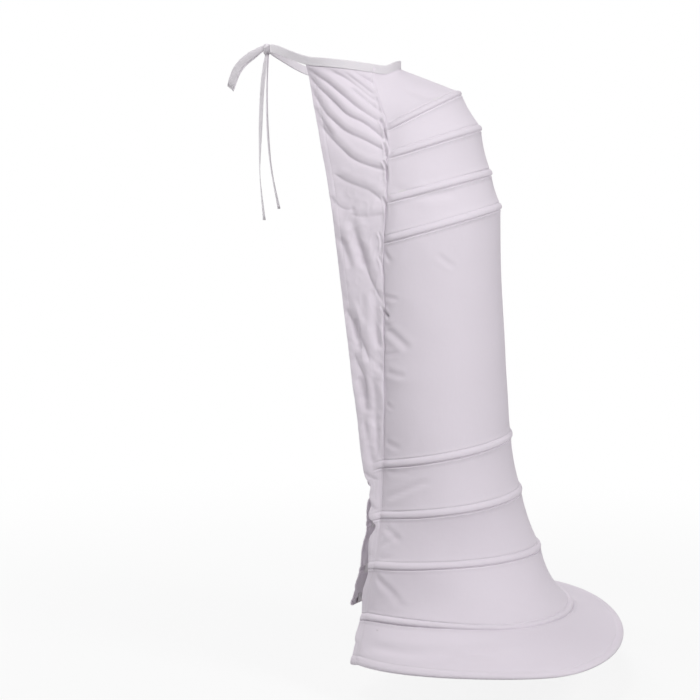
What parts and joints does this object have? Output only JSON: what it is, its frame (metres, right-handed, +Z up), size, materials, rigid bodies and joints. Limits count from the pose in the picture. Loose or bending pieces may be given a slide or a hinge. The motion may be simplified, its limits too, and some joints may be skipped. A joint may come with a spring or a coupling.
{
  "type": "crinoline cage",
  "caption": "Trained half-skirt crinoline of white cotton over flat steel hoops, open in front, with a tape waistband tied in a half bow.",
  "frame": {"origin": "centre of the waist opening, level with the middle of the band at the wearer's sides", "axes": "+Z up, -Y to the wearer's front, +Y to the train, +X to the wearer's left"},
  "size_m": [0.712, 0.6374, 0.9543],
  "materials": {
    "white_cotton": "plain-woven white cotton, matt, slightly creased",
    "band_tape": "folded cotton band, matt",
    "twill_tape": "white cotton twill tape",
    "spring_steel": "flat tempered spring steel, lacquered white",
    "crimped_tip": "thin crimped brass cap"
  },
  "bodies": {
    "root": {"back_panel": "white_cotton", "casing_1": "twill_tape", "casing_2": "twill_tape", "casing_3": "twill_tape", "casing_4": "twill_tape", "casing_5": "twill_tape", "casing_6": "twill_tape", "casing_7": "twill_tape", "casing_8": "twill_tape", "hem_facing": "twill_tape", "hem_steel": "spring_steel", "hoop_steel_1": "spring_steel", "hoop_steel_2": "spring_steel", "hoop_steel_3": "spring_steel", "hoop_steel_4": "spring_steel", "hoop_steel_5": "spring_steel", "hoop_steel_6": "spring_steel", "hoop_steel_7": "spring_steel", "hoop_steel_8": "spring_steel", "inner_tie_1": "twill_tape", "inner_tie_2": "twill_tape", "inner_tie_3": "twill_tape", "inner_tie_4": "twill_tape", "left_side_panel": "white_cotton", "left_tie_tail": "band_tape", "right_side_panel": "white_cotton", "right_tie_tail": "band_tape", "steel_tips": "crimped_tip", "tie_knot": "band_tape", "tie_loop": "band_tape", "waistband": "band_tape"}
  },
  "joints": []
}
